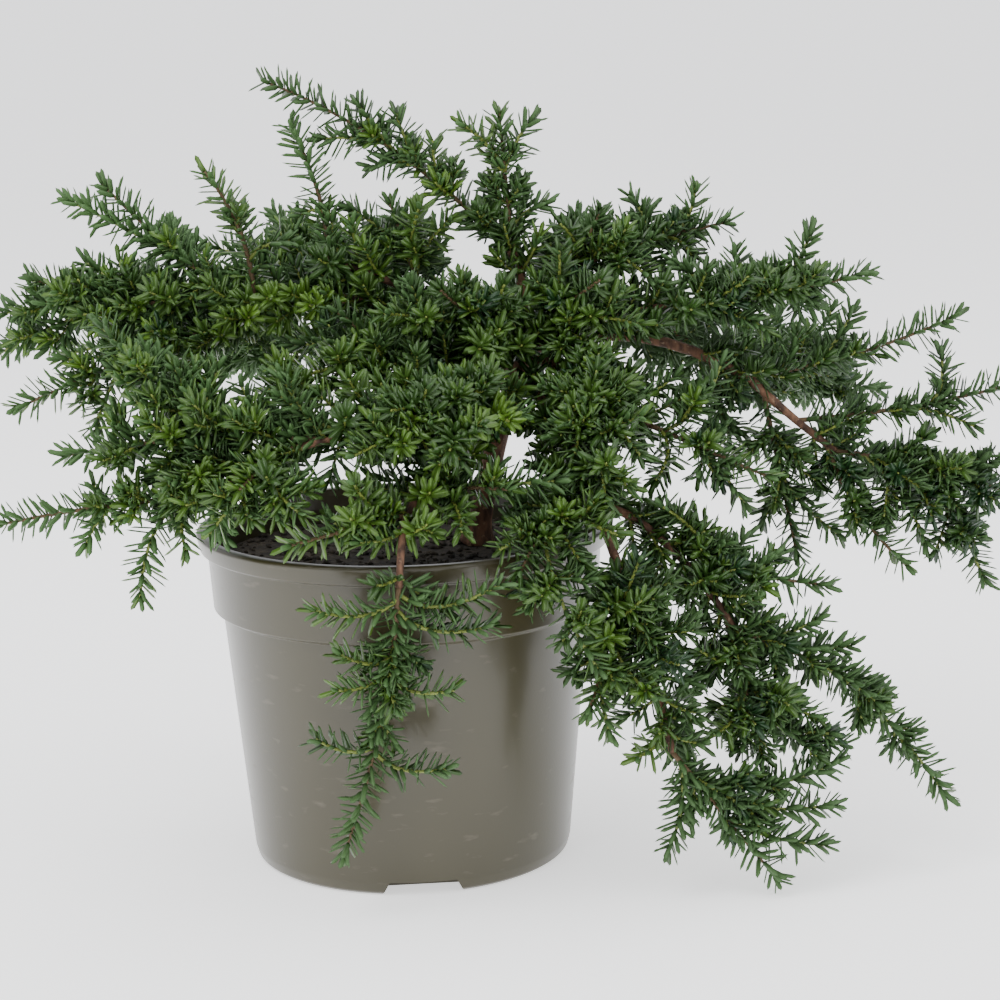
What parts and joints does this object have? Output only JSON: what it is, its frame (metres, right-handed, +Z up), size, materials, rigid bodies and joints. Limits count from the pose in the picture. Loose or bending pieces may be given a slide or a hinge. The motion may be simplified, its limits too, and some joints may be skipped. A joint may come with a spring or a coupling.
{
  "type": "potted conifer shrub",
  "caption": "Mountain plum pine, a low spreading evergreen conifer shrub with arching and trailing boughs, in a round plastic nursery pot filled with compost.",
  "frame": {"origin": "middle of the pot's flat underside, on the floor", "axes": "+Z up out of the pot; +X towards the longer, right-hand reach of the crown as the picture shows it, the object's longest side; the pictured front with the shoots that trail over the rim faces -Y"},
  "size_m": [0.4887, 0.3287, 0.3586],
  "materials": {
    "pot_plastic": "satin taupe-olive nursery plastic",
    "compost": "rough near-black bark and peat compost",
    "bark": "flaky reddish-brown bark",
    "foliage": "glossy dark green leaves with yellow-green young shoots"
  },
  "bodies": {
    "root": {"pot": "pot_plastic", "compost": "compost", "trunk": "bark", "bough_back_left": "bark", "bough_back_mid": "bark", "bough_back_right": "bark", "bough_cascade": "bark", "bough_cascade_low": "bark", "bough_cascade_side": "bark", "bough_front_fall": "bark", "bough_front_rim": "bark", "bough_leader": "bark", "bough_left_front": "bark", "bough_left_low": "bark", "bough_left_lower": "bark", "bough_left_upper": "bark", "bough_mid_right": "bark", "bough_right_arch": "bark", "bough_right_arch_end": "bark", "bough_right_crest": "bark", "bough_right_shelf": "bark", "foliage_arch_tip": "foliage", "foliage_back_left_out": "foliage", "foliage_back_left_up": "foliage", "foliage_back_mid_out": "foliage", "foliage_back_right_out": "foliage", "foliage_cascade_bottom": "foliage", "foliage_cascade_face": "foliage", "foliage_cascade_inner": "foliage", "foliage_cascade_right": "foliage", "foliage_cascade_upper": "foliage", "foliage_centre_crown": "foliage", "foliage_centre_front": "foliage", "foliage_crest_inner": "foliage", "foliage_crown_right": "foliage", "foliage_front_cascade": "foliage", "foliage_front_node_left": "foliage", "foliage_front_node_right": "foliage", "foliage_leader_top": "foliage", "foliage_left_cluster": "foliage", "foliage_left_crest": "foliage", "foliage_left_long": "foliage", "foliage_left_low_out": "foliage", "foliage_left_outer": "foliage", "foliage_left_rosettes": "foliage", "foliage_left_spray": "foliage", "foliage_left_thick": "foliage", "foliage_left_thin": "foliage", "foliage_mid_left_up": "foliage", "foliage_mid_right_inner": "foliage", "foliage_mid_right_spray": "foliage", "foliage_right_crest_tip": "foliage", "foliage_right_drop": "foliage", "foliage_right_rising": "foliage", "foliage_right_shelf_tip": "foliage", "foliage_right_spray_high": "foliage", "foliage_right_spray_low": "foliage", "foliage_right_tuft_in": "foliage", "foliage_right_tuft_out": "foliage", "foliage_rim_right": "foliage"}
  },
  "joints": []
}
